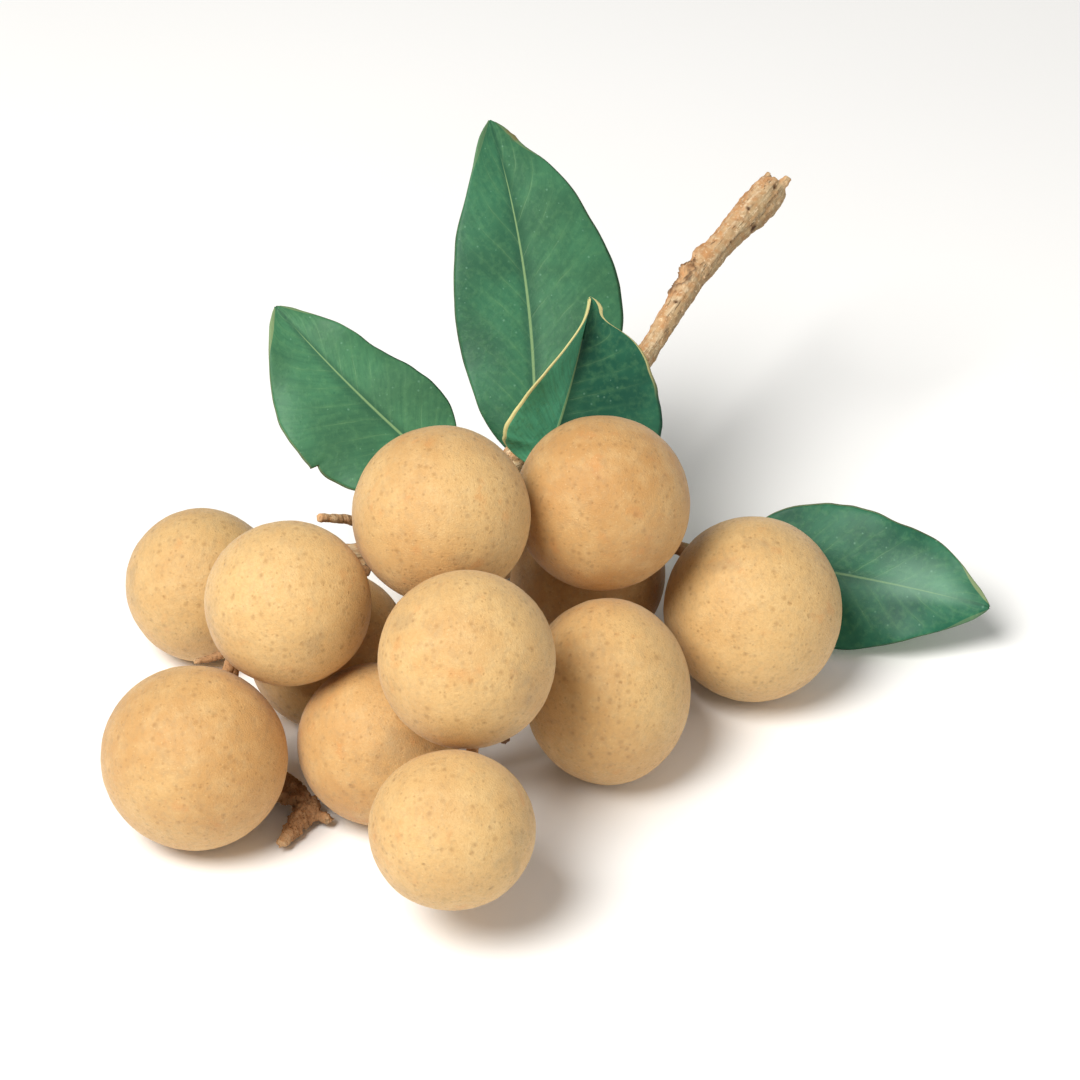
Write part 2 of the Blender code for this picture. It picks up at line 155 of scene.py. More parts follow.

# Leaves, sizes in mm and angles in degrees.  half and fold are for the left and right
# halves, and close is the fold that the left half gains by the tip.  nick is a torn
# notch: side, place along the blade, depth.  bulges are soft swells of the outline:
# side, place, height, length.  The rest is colour: rim is how cream the two margins are
# and rim_from how far out that starts, tone is how fresh the greens of the halves are,
# lit how strongly painted light lightens the left half, sheen how strong the painted
# highlight by the midrib is, dusk how dark the painted shade at the foot of the right
# half is, and rib how pale the midrib is.
USUAL = dict(
    twist=0.0, close=0.0, blunt=0.8, nick=(1, 0.5, 0.0), rim_from=(0.97, 0.97),
    lit=0.0, sheen=0.0, foot_shade=0.0)
LEAVES = {
    "leaf_left": USUAL | dict(
        base=(-9.8, 13.0, 28.3), heading=160.0, turn=-20.0, rise=36.0, droop=4.0,
        roll=-27.0, petiole=4.0, length=34.8, half=(11.5, 7.7),
        fold=(10.0, 10.0), wave=0.5, peak=0.4, nick=(-1, 0.42, 1.2),
        bulges=((1, 0.21, 1.5, 0.14), (1, 0.62, -0.5, 0.12), (-1, 0.62, 1.3, 0.2)),
        rim=(0.20, 0.15), tone=(0.30, 0.36), rib=0.50),
    "leaf_tall": USUAL | dict(
        base=(-0.9, 25.2, 23.2), heading=87.0, turn=27.0, rise=49.0, droop=6.0,
        roll=-2.0, petiole=1.5, length=52.4, half=(10.5, 12.8),
        fold=(9.0, 9.0), wave=0.45, peak=0.46, nick=(1, 0.945, -0.3),
        bulges=((1, 0.45, 0.8, 0.18), (1, 0.925, -1.2, 0.05), (-1, 0.82, -0.5, 0.10),
                (-1, 0.12, 0.9, 0.12)),
        rim=(0.08, 0.12), tone=(0.16, 0.26), foot_shade=0.15, rib=0.52),
    "leaf_folded": USUAL | dict(
        base=(-0.6, 16.2, 27.7), heading=50.0, turn=22.0, rise=56.0, droop=0.0,
        roll=30.0, petiole=2.5, length=25.6, half=(9.0, 13.2),
        fold=(28.0, 6.0), close=55.0, wave=0.3, peak=0.42, blunt=0.72,
        bulges=((-1, 0.13, 1.9, 0.13), (1, 0.32, 1.3, 0.14), (1, 0.925, -3.7, 0.075)),
        rim=(1.0, 0.9), rim_from=(0.92, 0.945), tone=(0.30, -0.05), lit=0.85,
        foot_shade=0.85, rib=0.45),
    "leaf_right": USUAL | dict(
        base=(25.8, 24.9, 9.2), heading=-17.0, turn=0.0, rise=4.0, droop=10.0,
        roll=50.0, twist=-6.0, petiole=3.0, length=38.5, half=(9.2, 10.8),
        fold=(8.0, 8.0), wave=0.4, peak=0.38,
        bulges=((-1, 0.45, 0.6, 0.20), (-1, 0.76, 1.5, 0.14)),
        rim=(0.25, 0.10), tone=(0.0, -0.05), sheen=0.40, foot_shade=0.35, rib=0.26),
}

MIDRIB_STEPS = 24
PETIOLE_HALF = 0.72       # half the width of a petiole, mm
PETIOLE_BACK = 0.45       # how far it starts behind its place, mm

# Side veins: their number, lean to the tip and its bend, and how far those of the right
# half are ahead.
VEINS = 11.0
VEIN_LEAN = 0.24
VEIN_BEND = 0.85
VEIN_AHEAD = 0.4

# Lights: name, place and width in metres, colour.
LIGHTS = (
    ("key", (-0.34, -0.35, 0.71), 0.46, (1.0, 0.98, 0.94)),
    ("fill", (0.60, -0.45, 0.45), 0.60, (1.0, 0.95, 0.85)),
)
FLOOR_RADIUS = 3.0


def tint(red, green, blue):
    """Linear colour from its 0 to 255 display values."""
    def line(value):
        part = value / 255.0
        return part / 12.92 if part <= 0.04045 else ((part + 0.055) / 1.055) ** 2.4
    return (line(red), line(green), line(blue))


def between(first, second, share):
    """Colour that is a share of the way from the first to the second."""
    return tuple(max(0.0, a + (b - a) * share) for a, b in zip(first, second))


def colour_prop(name, text, *shade):
    """A colour setting; its default is given in display values."""
    return FloatVectorProperty(
        name=name, description=text, subtype="COLOR", size=3, min=0.0, max=1.0,
        default=tint(*shade))


def length_prop(name, text, value):
    """A length setting in metres."""
    return FloatProperty(
        name=name, description=text, default=value, min=0.0, precision=5,
        subtype="DISTANCE", unit="LENGTH")


class RindSettings(PropertyGroup):
    """The dry rind of the fruit."""
    skin: colour_prop("Skin", "Main tan of the rind", 213, 175, 117)
    ripe: colour_prop("Ripe", "Warmer, deeper tan of the broad patches", 192, 145, 88)
    pale: colour_prop("Pale", "Pale bloom between the patches", 226, 197, 144)
    speck: colour_prop("Speck", "Olive brown of the specks", 148, 106, 58)
    smudge: colour_prop("Smudge", "Grey brown of the faint smudges", 158, 134, 100)
    stain: colour_prop("Stain", "Orange of the small stains", 206, 130, 62)
    scar: colour_prop("Scar", "Brown of the collar at the stalk", 120, 78, 46)
    lumps: length_prop("Lumps", "Height of the slow unevenness of a fruit", 0.00012)
    grain: length_prop("Grain", "Height of the small bumps of the rind", 0.000028)
    collar: length_prop("Collar", "Height of the collar that meets the stalk", 0.00032)
    detail: IntProperty(
        name="Detail", description="Times that the first twenty-sided ball is divided",
        default=6, min=3, max=7)


class BarkSettings(PropertyGroup):
    """The bark and broken wood of the stem."""
    bark: colour_prop("Bark", "Tan of the dry bark", 198, 162, 120)
    ridge: colour_prop("Ridge", "Pale grey pink of the worn ridges", 228, 204, 168)
    rust: colour_prop("Rust", "Orange brown of the patches", 190, 126, 70)
    crack: colour_prop("Crack", "Dark brown of cracks and pits", 84, 54, 32)
    wood: colour_prop("Wood", "Broken fibrous wood", 220, 188, 146)
    twig: colour_prop("Twig", "Brown of the thin twigs", 172, 128, 88)
    young: colour_prop("Young", "Green of the twigs that carry leaves", 122, 150, 96)
    # Painted shade: the grey green that the stem's right side is turned to.
    shade: colour_prop("Shade", "Grey green of the stem's right side", 146, 132, 100)
    voxel: length_prop("Voxel", "Grid that the bark surface is rebuilt on", 0.00028)
    relief: length_prop("Relief", "Height of the bark ridges", 0.00034)


class LeafSettings(PropertyGroup):
    """The waxy leaves."""
    blade: colour_prop("Blade", "Green of the upper face", 46, 106, 78)
    deep: colour_prop("Deep", "Darker green of the patches", 28, 80, 60)
    fresh: colour_prop("Fresh", "Lighter green beside the veins", 96, 146, 98)
    back: colour_prop("Back", "Paler green of the lower face", 112, 152, 104)
    vein: colour_prop("Vein", "Pale midrib and veins", 160, 190, 130)
    rim: colour_prop("Rim", "Cream line along the margin", 214, 204, 142)
    brown: colour_prop("Brown", "Brown of the nick in the tall leaf", 116, 92, 52)
    # Pale green of the glints and of the painted highlight by the midrib.
    bloom: colour_prop("Bloom", "Pale waxy bloom", 140, 186, 160)
    # Painted light: the green that the left half of the folded leaf is lightened to.
    bright: colour_prop("Bright", "Green of a half that stands up", 104, 202, 160)
    thick: length_prop("Thickness", "Thickness of the blade", 0.00045)
    rows: IntProperty(
        name="Rows", description="Steps along a blade", default=110, min=20, max=200)
    columns: IntProperty(
        name="Columns", description="Steps round a blade", default=88, min=16, max=160)


class StageSettings(PropertyGroup):
    """Floor, light and camera."""
    floor: colour_prop("Floor", "Pale plain floor", 250, 250, 250)
    sky: FloatProperty(
        name="Room light", description="Strength of the even light", default=0.30, min=0.0)
    key: FloatProperty(
        name="Key light", description="Power of the soft light at the upper left",
        default=8.9, min=0.0, unit="POWER")
    fill: FloatProperty(
        name="Fill light", description="Power of the soft light at the right",
        default=1.1, min=0.0, unit="POWER")
    elevation: FloatProperty(
        name="Elevation", description="Camera's angle above the table",
        default=math.radians(36.0), subtype="ANGLE", unit="ROTATION")
    distance: length_prop("Distance", "From the camera to the point it looks at", 0.458)
    lens: FloatProperty(
        name="Lens", description="Focal length on a 36 mm wide sensor", default=110.0,
        min=20.0, unit="CAMERA")
    aim: FloatVectorProperty(
        name="Aim", description="Point in the middle of the picture", size=3,
        subtype="TRANSLATION", unit="LENGTH", default=(-0.0026, -0.0091, 0.030))


class LonganSettings(PropertyGroup):
    """All settings of the bunch."""
    rind: PointerProperty(type=RindSettings)
    bark: PointerProperty(type=BarkSettings)
    leaf: PointerProperty(type=LeafSettings)
    stage: PointerProperty(type=StageSettings)


def placed(point):
    """A layout point in mm as a model point in metres."""
    x, y, z = point[:3]
    return Vector(((x + SHIFT[0]) * MM, (y + SHIFT[1]) * MM, z * MM))


def linked(name, data):
    """A new object in the scene."""
    ob = bpy.data.objects.new(name, data)
    bpy.context.scene.collection.objects.link(ob)
    return ob


def finished(name, bm, material, slot, *nodes):
    """Object from a bmesh: smooth, on the body, standing for the CAD nodes."""
    mesh = bpy.data.meshes.new(name)
    bm.to_mesh(mesh)
    bm.free()
    mesh.shade_smooth()
    mesh.materials.append(material)
    ob = linked(name, mesh)
    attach(ob, BODY)
    if nodes:
        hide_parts(*nodes)
    return ob


# Nodes and node groups


def feed(tree, made, inputs):
    """Link or set the inputs of a node."""
    for key, value in inputs.items():
        if isinstance(value, NodeSocket):
            tree.links.new(value, made.inputs[key])
        else:
            made.inputs[key].default_value = value


def node(tree, kind, options=None, inputs=None):
    """A shader node of a kind, with its options and its inputs."""
    made = tree.nodes.new("ShaderNode" + kind)
    for key, value in (options or {}).items():
        setattr(made, key, value)
    feed(tree, made, inputs or {})
    return made


def maths(tree, operation, *values, clamp=False):
    """Result of one operation on sockets or numbers."""
    made = node(tree, "Math", {"operation": operation, "use_clamp": clamp},
                dict(enumerate(values)))
    return made.outputs[0]


def product(tree, first, *others):
    """Product of sockets or numbers."""
    for value in others:
        first = maths(tree, "MULTIPLY", first, value)
    return first


def ramp(tree, value, low, high, to_low=0.0, to_high=1.0):
    """value moved smoothly from low..high to to_low..to_high."""
    made = node(tree, "MapRange", {"interpolation_type": "SMOOTHSTEP"}, {
        "Value": value, "From Min": low, "From Max": high,
        "To Min": to_low, "To Max": to_high})
    return made.outputs["Result"]


def mixed(tree, share, first, second):
    """Colour between first and second."""
    first, second = (
        colour if isinstance(colour, NodeSocket) else (*colour, 1.0)
        for colour in (first, second))
    made = node(tree, "Mix", {"data_type": "RGBA"}, {0: share, 6: first, 7: second})
    return made.outputs[2]


def layered(tree, colour, *layers):
    """Colour with layers over it, each a mask, its strength and a colour."""
    for mask, strength, over in layers:
        colour = mixed(tree, product(tree, mask, strength), colour, over)
    return colour


def effect_group(name, inputs):
    """An empty group with a vector, the named number inputs and a mask output."""
    tree = bpy.data.node_groups.new(name, "ShaderNodeTree")
    tree.interface.new_socket("Vector", in_out="INPUT", socket_type="NodeSocketVector")
    for label, value in inputs:
        socket = tree.interface.new_socket(
            label, in_out="INPUT", socket_type="NodeSocketFloat")
        socket.default_value = value
    tree.interface.new_socket("Mask", in_out="OUTPUT", socket_type="NodeSocketFloat")
    source = tree.nodes.new("NodeGroupInput").outputs
    result = tree.nodes.new("NodeGroupOutput").inputs
    return tree, source, result


@functools.cache
def speckle_group():
    """Soft round dots of uneven size; Share is the part of the cells that has one."""
    tree, source, result = effect_group(
        "Speckle", (("Scale", 1.0), ("Size", 0.2), ("Soft", 0.5), ("Share", 0.5)))
    cells = node(tree, "TexVoronoi", None, {
        "Vector": source["Vector"], "Scale": source["Scale"]})
    chance = node(tree, "SeparateColor", None, {"Color": cells.outputs["Color"]})
    size = product(tree, source["Size"], ramp(tree, chance.outputs[1], 0.0, 1.0, 0.5, 1.2))
    inner = product(tree, size, maths(tree, "SUBTRACT", 1.0, source["Soft"]))
    dot = ramp(tree, cells.outputs["Distance"], size, inner)
    here = maths(tree, "LESS_THAN", chance.outputs[0], source["Share"])
    tree.links.new(product(tree, dot, here), result["Mask"])
    return tree


@functools.cache
def mottle_group():
    """Uneven patches: 0 under Low and 1 over High."""
    tree, source, result = effect_group(
        "Mottle", (("Scale", 1.0), ("Detail", 3.0), ("Low", 0.35), ("High", 0.65)))
    cloud = node(tree, "TexNoise", None, {
        "Vector": source["Vector"], "Scale": source["Scale"],
        "Detail": source["Detail"], "Roughness": 0.55})
    patch = ramp(tree, cloud.outputs[0], source["Low"], source["High"])
    tree.links.new(patch, result["Mask"])
    return tree


def grouped(tree, group, vector, **values):
    """Mask of an effect group on a vector, with its number inputs."""
    made = node(tree, "Group", {"node_tree": group}, {"Vector": vector, **values})
    return made.outputs["Mask"]


def effects(tree):
    """The mottle and speckle effects as calls for one node tree."""
    return (functools.partial(grouped, tree, mottle_group()),
            functools.partial(grouped, tree, speckle_group()))


def new_material(name):
    """A material, its node tree and its shader."""
    mat = bpy.data.materials.new(name)
    mat.use_nodes = True
    tree = mat.node_tree
    return mat, tree, tree.nodes["Principled BSDF"]


def millimetres(tree, socket=None):
    """Object coordinates, or another vector, times a thousand."""
    if socket is None:
        socket = node(tree, "TexCoord").outputs["Object"]
    made = node(tree, "Mapping", None, {
        "Vector": socket, "Scale": (1000.0, 1000.0, 1000.0)})
    return made.outputs["Vector"]


def attribute(tree, name, output="Fac"):
    """An attribute of the mesh."""
    return node(tree, "Attribute", {"attribute_name": name}).outputs[output]


def bumped(tree, shader, height, distance, strength):
    """Put a bump on the shader; distance is in metres."""
    made = node(tree, "Bump", None, {
        "Height": height, "Distance": distance, "Strength": strength})
    tree.links.new(made.outputs["Normal"], shader.inputs["Normal"])


# Fruit


def rind_material(rind):
    """Dry tan skin with broad warm patches, olive specks and faint smudges."""
    mat, tree, shader = new_material("longan_rind")
    place = millimetres(tree)
    mottle, speckle = effects(tree)
    tone = attribute(tree, "tone")
    slant = node(tree, "Mapping", None, {
        "Vector": place, "Rotation": (0.5, 0.9, 0.3),
        "Scale": (1.0, 0.38, 1.0)}).outputs["Vector"]
    broad = mottle(place, Scale=0.075, Detail=2.0, Low=0.36, High=0.66)
    patch = mottle(place, Scale=0.38, Detail=4.0, Low=0.38, High=0.78)
    dust = mottle(place, Scale=2.6, Detail=3.0, Low=0.40, High=0.70)
    large = speckle(place, Scale=0.78, Size=0.40, Soft=0.95, Share=0.66)
    small = speckle(place, Scale=1.20, Size=0.34, Soft=0.9, Share=0.55)
    dashes = speckle(slant, Scale=1.10, Size=0.17, Soft=0.7, Share=0.50)
    points = speckle(place, Scale=2.2, Size=0.30, Soft=0.8, Share=0.50)
    fibre = mottle(slant, Scale=1.3, Detail=5.0, Low=0.44, High=0.70)
    smear = mottle(place, Scale=0.14, Detail=4.0, Low=0.58, High=0.72)
    stain = mottle(place, Scale=0.26, Detail=3.0, Low=0.60, High=0.74)
    warm = maths(tree, "MULTIPLY_ADD", broad, 0.55, tone, clamp=True)
    colour = layered(
        tree, mixed(tree, warm, rind.skin, rind.ripe),
        (patch, 0.30, rind.pale), (dust, 0.28, rind.ripe), (fibre, 0.24, rind.smudge),
        (stain, 0.26, rind.stain), (smear, 0.35, rind.smudge), (points, 0.40, rind.pale),
        (large, 0.43, rind.speck), (small, 0.37, rind.speck), (dashes, 0.34, rind.speck),
        (attribute(tree, "collar"), 1.0, rind.scar))
    feed(tree, shader, {
        "Base Color": colour, "Roughness": ramp(tree, dust, 0.0, 1.0, 0.52, 0.66),
        "Specular IOR Level": 0.32, "Sheen Weight": 0.12, "Sheen Roughness": 0.45})
    grain = node(tree, "TexNoise", None, {
        "Vector": place, "Scale": 4.2, "Detail": 3.0, "Roughness": 0.6})
    pits = product(tree, maths(tree, "ADD", large, small), -0.35)
    height = maths(tree, "ADD", grain.outputs[0], pits)
    bumped(tree, shader, height, 0.00014, 0.8)
    return mat


def stalk_side(middle, stem_points):
    """Direction from a fruit's middle to the stalk end that nearly touches it."""
    nearest = min((p - middle).length for p in stem_points)
    ring = [p for p in stem_points if (p - middle).length < nearest + 0.2 * MM]
    return (sum(ring, Vector()) / len(ring) - middle).normalized()


def half_size(squash, axis, way):
    """Half the size of a flattened ball of radius 1 in a direction."""
    share = way.dot(axis) ** 2
    return math.sqrt(1.0 - share + squash * squash * share)


def fruit_place(name, stem_points):
    """Middle, radius, flattening and stalk direction of a fruit, from its solid."""
    low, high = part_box(name)
    across, up = Vector((1.0, 0.0, 0.0)), Vector((0.0, 0.0, 1.0))
    radius = (high.x - low.x) / 2
    middle = Vector(((low.x + high.x) / 2, (low.y + high.y) / 2, high.z - radius))
    for _ in range(3):
        seat = stalk_side(middle, stem_points)
        squash, axis = ODD_FRUITS.get(name, (FRUIT_SQUASH, seat))
        axis = Vector(axis).normalized()
        radius = (high.x - low.x) / 2 / half_size(squash, axis, across)
        middle.z = high.z - radius * half_size(squash, axis, up)
    return middle, radius, Matrix.Scale(squash, 3, axis), seat


def make_rind(name, stem_points, rind, material, seed):
    """One fine fruit: uneven ball, low shoulder, collar at the stalk, flat foot."""
    middle, radius, flatten, seat = fruit_place(name, stem_points)
    rng = random.Random(seed)
    tone = TONES[name]
    offset = Vector((rng.uniform(0.0, 90.0), rng.uniform(0.0, 90.0), seed * 7.0))
    bm = bmesh.new()
    bmesh.ops.create_icosphere(bm, subdivisions=rind.detail, radius=radius)
    tones = bm.verts.layers.float.new("tone")
    collars = bm.verts.layers.float.new("collar")
    for v in bm.verts:
        way = v.co.normalized()
        across = (v.co - seat * v.co.dot(seat)).length / MM
        slow = noise.noise(way * 1.6 + offset) + 0.35 * noise.noise(way * 4.0 + offset)
        fine = noise.noise(v.co / (1.4 * MM) + offset)
        fine += 0.6 * noise.noise(v.co / (0.75 * MM) + offset)
        out = radius + rind.lumps * slow + rind.grain * fine
        if way.dot(seat) > 0.9:
            past = across - COLLAR_RADIUS
            rim = math.exp(-(past / COLLAR_SOFT) ** 2)
            cap = 1.0 / (1.0 + math.exp(past / 0.12))
            dip = math.exp(-(across / DIMPLE_REACH) ** 2)
            out += rind.collar * (0.5 * rim + 0.8 * cap) - DIMPLE_DEPTH * MM * dip
            v[collars] = min(1.0, cap + 0.45 * rim)
        v.co = flatten @ (way * out)
        v[tones] = tone
    bmesh.ops.translate(bm, vec=middle, verts=bm.verts)
    for v in bm.verts:
        v.co.z = max(v.co.z, LOWEST)
    return finished(name.replace("fruit", "rind"), bm, material, "rind", name)


# Stem


def on_stem_line(point):
    """Nearest place on the main stem: distance over its reach, mm along it, offsets."""
    best = None
    gone = 0.0
    for first, second in zip(STEM_LINE, STEM_LINE[1:]):
        start = Vector(first[:3])
        run = Vector(second[:3]) - start
        share = max(0.0, min(1.0, (point - start).dot(run) / run.length_squared))
        away = point - (start + run * share)
        reach = STEM_REACH * (first[3] + (second[3] - first[3]) * share)
        if best is None or away.length / reach < best[0]:
            side = run.cross(Vector((0.0, 0.0, 1.0))).normalized()
            over = side.cross(run).normalized()
            best = (away.length / reach, gone + share * run.length,
                    away.dot(side), away.dot(over))
        gone += run.length
    return best


def stem_spot(back, across, ahead):
    """Point in mm and the stem's direction, seen from the front, near the upper end."""
    gone = 0.0
    for first, second in zip(STEM_LINE, STEM_LINE[1:]):
        start = Vector(first[:3])
        run = Vector(second[:3]) - start
        if back <= gone + run.length:
            break
        gone += run.length
    axis = -run.normalized()
    towards = (FRONT - axis * FRONT.dot(axis)).normalized()
    aside = axis.cross(towards).normalized()
    middle = start + run * ((back - gone) / run.length)
    radius = first[3] + (second[3] - first[3]) * (back - gone) / run.length
    return middle + aside * across + towards * ahead, axis, towards, radius


def end_length(across):
    """How far the broken end stands out at a place across it, mm."""
    for (low, first), (high, second) in zip(END_PROFILE, END_PROFILE[1:]):
        if across <= high:
            share = max(0.0, (across - low) / (high - low))
            return first + (second - first) * share
    return END_PROFILE[-1][1]


def lay(bm, made, middle, axis, size):
    """Stretch what was made, turn it along an axis and move it to its middle in mm."""
    stand = Vector((0.0, 0.0, 1.0)).rotation_difference(axis).to_matrix().to_4x4()
    matrix = Matrix.Translation(placed(middle)) @ stand @ Matrix.Diagonal((*size, 1.0))
    bmesh.ops.transform(bm, matrix=matrix, verts=made["verts"])


def add_rod(bm, middle, axis, wide, tall):
    """A seven-sided tapered fibre along an axis; sizes in mm."""
    cone = bmesh.ops.create_cone(
        bm, cap_ends=True, segments=7, radius1=wide * MM, radius2=wide * 0.5 * MM,
        depth=tall * MM)
    lay(bm, cone, middle, axis, (1.0, 1.0, 1.0))


def add_lump(bm, middle, axis, wide, tall):
    """An egg of wood lying along an axis; sizes in mm."""
    ball = bmesh.ops.create_icosphere(bm, subdivisions=3, radius=MM)
    lay(bm, ball, middle, axis, (wide, wide, tall))


def add_end(bm, rng):
    """The jagged fibres of the broken upper end and the lumps behind it."""
    for i in range(END_FIBRES):
        angle = GOLDEN_ANGLE * i
        away = END_RADIUS * math.sqrt((i + 0.5) / END_FIBRES)
        across, ahead = away * math.cos(angle), away * math.sin(angle)
        length = end_length(across) + rng.uniform(-0.25, 0.3) - 0.25 * abs(ahead)
        foot, axis, towards, _ = stem_spot(0.0, across, ahead)
        lean = (axis + towards * rng.uniform(-0.06, 0.06)).normalized()
        middle = foot + lean * (length * 0.5 - END_ROOT * 0.5)
        add_rod(bm, middle, lean, rng.uniform(0.4, 0.6), length + END_ROOT)
    for back, across, ahead, wide, tall in LUMPS:
        middle, axis, _, _ = stem_spot(back, across, ahead)
        add_lump(bm, middle, axis, wide, tall)


def add_fork_fibres(bm, rng):
    """Thin torn fibres at the fork that lies at the front left."""
    for tip, _ in FORK_TIPS:
        tip = Vector(tip)
        axis = (tip - Vector(FORK[0])).normalized()
        side = axis.cross(Vector((0.0, 0.0, 1.0))).normalized()
        for _ in range(TIP_FIBRES):
            lean = (axis + side * rng.uniform(-0.5, 0.5)).normalized()
            foot = tip + side * rng.uniform(-0.5, 0.5) - axis * rng.uniform(0.2, 1.2)
            foot.z = max(foot.z, 0.7)
            add_rod(bm, foot, lean, rng.uniform(0.34, 0.5), rng.uniform(1.4, 2.6))


def bark_height(point, line, relief):
    """Height of the bark at a point in mm, in metres."""
    away, along, aside, up = line
    if away > 1.0:
        ragged = max(0.0, 1.0 - (point - Vector(FORK[0])).length / FORK[1])
        rough = noise.noise(point * 0.9) + 0.6 * noise.noise(point * 2.2)
        return relief * rough * (0.4 + 2.2 * ragged)
    grain = Vector((aside, up, along * 0.2))
    ridge = noise.noise(grain * 1.3) + 0.45 * noise.noise(grain * 3.0)
    knots = noise.noise(point * 0.36)
    chip = noise.noise(point * 1.3 + Vector((7.0, 0.0, 0.0)))
    crack = -max(0.0, 0.16 - abs(noise.noise(grain * 2.1 + Vector((0.0, 9.0, 0.0)))))
    return relief * (0.6 * ridge + 0.42 * knots + 0.45 * chip + crack)


def pit_spots():
    """Middle in mm, on the front of the stem, and radius of each dark pit."""
    spots = []
    for behind, across, radius in PITS:
        thick = stem_spot(behind, 0.0, 0.0)[3]
        ahead = math.sqrt(max(0.0, thick * thick - across * across))
        spots.append((stem_spot(behind, across, ahead)[0], radius))
    return spots


def wound(point, axis):
    """Of a point in mm by the wound: lift in metres, bare wood and darkness."""
    past = point - Vector(WOUND)
    along = past.dot(axis)
    near = math.hypot(along / WOUND_STRETCH, (past - axis * along).length) / WOUND_RADIUS
    near += 0.34 * noise.noise(point * 1.05) + 0.12 * noise.noise(point * 2.6)
    if near >= 1.0:
        return 0.0, 0.0, 0.0
    lip = math.exp(-((near - 0.8) / 0.15) ** 2)
    hollow = 0.9 * (1.0 - max(0.0, near))
    dark = 0.85 * math.exp(-((near - 0.8) / 0.13) ** 2)
    return WOUND_LIP * MM * (lip - hollow), 1.0 - near, dark


def stem_surface(voxel):
    """The fused stem with its fibres and lumps, rebuilt on a fine even grid."""
    bm = bmesh.new()
    bm.from_mesh(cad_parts["stem"].data)
    bmesh.ops.remove_doubles(bm, verts=bm.verts, dist=1e-6)
    rng = random.Random(STEM_SEED)
    add_end(bm, rng)
    add_fork_fibres(bm, rng)
    rough = bpy.data.meshes.new("stem_rough")
    bm.to_mesh(rough)
    bm.free()
    holder = linked("stem_rough", rough)
    grid = holder.modifiers.new("Grid", "REMESH")
    grid.mode = "VOXEL"
    grid.voxel_size = voxel
    even = holder.modifiers.new("Even", "SMOOTH")
    even.factor = 0.5
    even.iterations = 2
    graph = bpy.context.evaluated_depsgraph_get()
    graph.update()
    fine = bpy.data.meshes.new_from_object(holder.evaluated_get(graph), depsgraph=graph)
    bpy.data.objects.remove(holder, do_unlink=True)
    bpy.data.meshes.remove(rough)
    bm = bmesh.new()
    bm.from_mesh(fine)
    bpy.data.meshes.remove(fine)
    bmesh.ops.recalc_face_normals(bm, faces=bm.faces)
    bm.normal_update()
    return bm


def make_bark(bark, material):
    """The fine stem with ridges, pits and wound, and the masks of its colours."""
    bm = stem_surface(bark.voxel)
    grains = bm.verts.layers.float_vector.new("grain")
    breaks, thin, darks, young = map(
        bm.verts.layers.float.new, ("broken", "thin", "dark", "young"))
    feet = [Vector(spec["base"]) for spec in LEAVES.values()]
    wound_axis = stem_spot(WOUND_BACK, 0.0, 0.0)[1]
    back = Vector((-SHIFT[0], -SHIFT[1], 0.0))
    pits = pit_spots()
    moves = []
    for v in bm.verts:
        point = v.co / MM + back
        line = on_stem_line(point)
        on_main = line[0] <= 1.0
        v[grains] = Vector((line[2], line[3], line[1])) * MM if on_main else point * MM
        stub = (point - Vector(STUB[0])).length / STUB_PALE
        v[thin] = 0.0 if on_main else max(0.0, min(0.95, stub))
        lift, end, dark = wound(point, wound_axis)
        lift += bark_height(point, line, bark.relief)
        if on_main:
            end = max(end, 1.0 - line[1] / 0.5)
        for tip, reach in BREAKS:
            end = max(end, 1.0 - (point - Vector(tip)).length / reach)
        for spot, radius in pits:
            gap = (point - spot).length / radius
            if gap < 1.7:
                dark = max(dark, min(1.0, 1.7 - gap))
                lift -= PIT_DEPTH * MM * math.exp(-gap * gap)
        for spot, reach, depth in DARKER_SPOTS:
            gap = (point - Vector(spot)).length / reach
            dark = max(dark, min(0.85, depth * (1.0 - gap)))
        v[breaks] = max(0.0, min(1.0, end))
        v[darks] = dark
        foot = min((point - foot).length for foot in feet)
        v[young] = 0.0 if on_main else max(0.0, min(1.0, 1.6 - foot / 3.2))
        moves.append(v.normal * lift)
    for v, move in zip(bm.verts, moves):
        v.co += move
        v.co.z = max(v.co.z, LOWEST)
    return finished("bark", bm, material, "bark", "stem")


